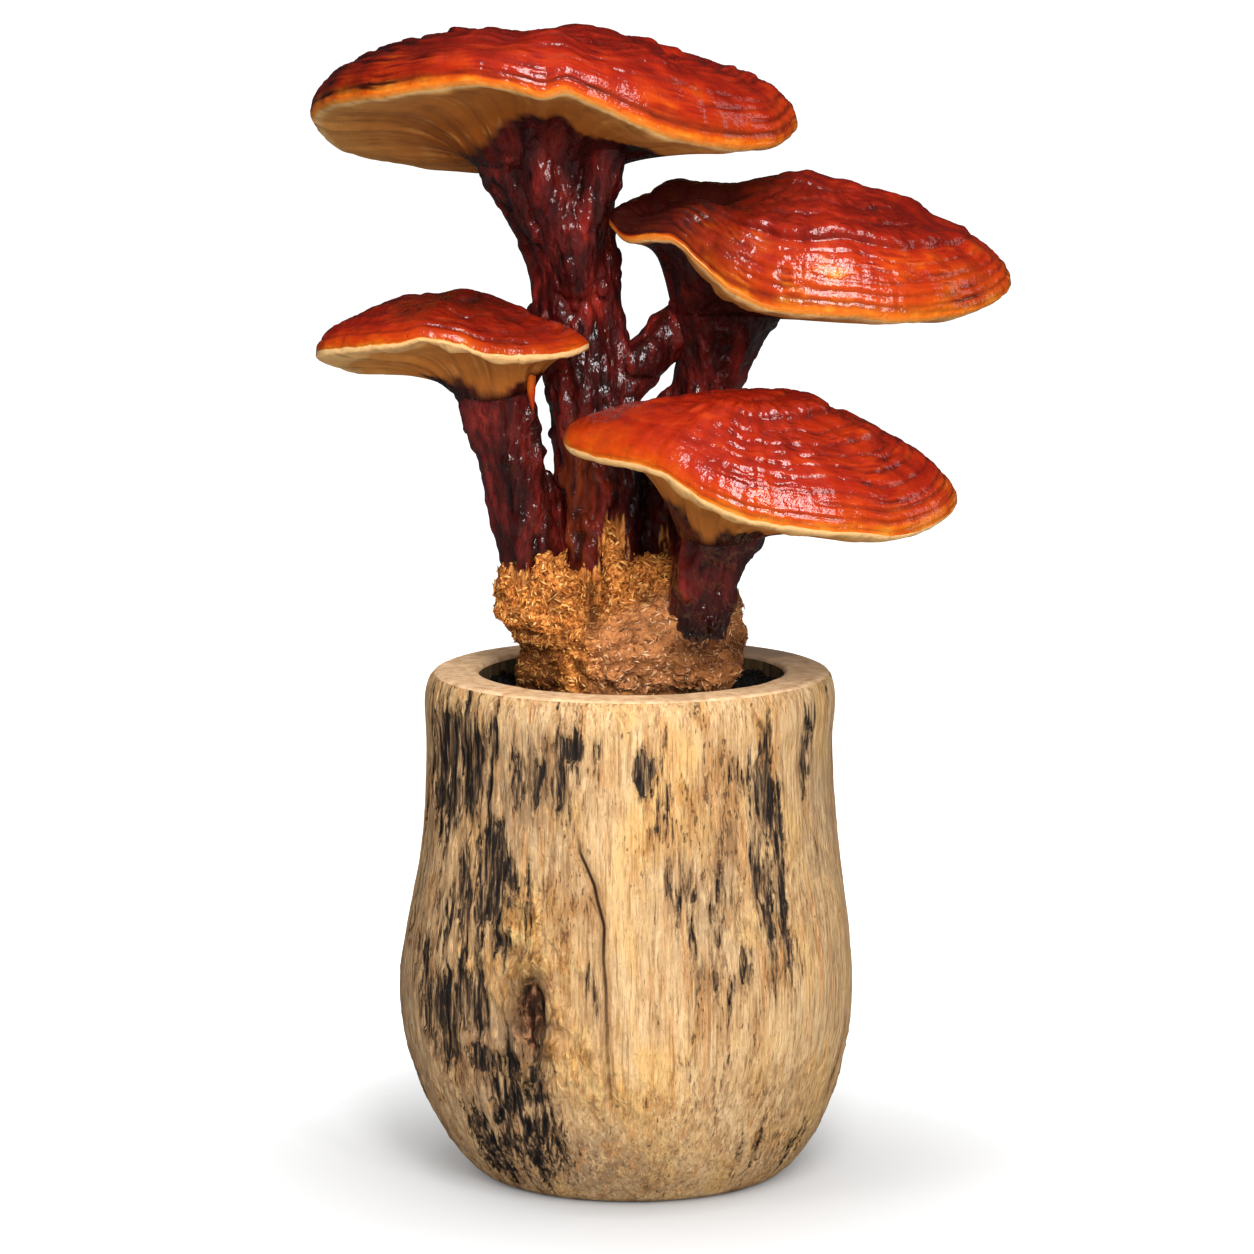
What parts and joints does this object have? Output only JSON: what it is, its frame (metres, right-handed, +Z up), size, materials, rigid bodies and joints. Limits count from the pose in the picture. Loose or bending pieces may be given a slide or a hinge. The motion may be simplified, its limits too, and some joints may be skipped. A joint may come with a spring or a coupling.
{
  "type": "potted reishi mushroom",
  "caption": "Lacquered reishi caps on forking stems, growing from a block of chips in a pot turned from a log.",
  "frame": {"origin": "middle of the pot's flat foot, on the surface it stands on", "axes": "+Z up along the pot's axis; -Y towards the front, where the lowest cap stands out; +X to the right seen from the front"},
  "size_m": [0.3794, 0.2626, 0.6312],
  "materials": {
    "log": "weathered log surface with dark patches, sanded rim",
    "soil": "matte black granules",
    "chips": "rough dried chips and husks",
    "stem_lacquer": "glossy knobbly burgundy",
    "cap_lacquer": "glossy red to orange with a pale edge and underside"
  },
  "bodies": {
    "root": {"pot": "log", "soil": "soil", "base": "chips", "stem_tall": "stem_lacquer", "stem_fork": "stem_lacquer", "stem_left": "stem_lacquer", "stem_right": "stem_lacquer", "stem_front": "stem_lacquer", "cap_top": "cap_lacquer", "cap_left": "cap_lacquer", "cap_right": "cap_lacquer", "cap_front": "cap_lacquer"}
  },
  "joints": []
}
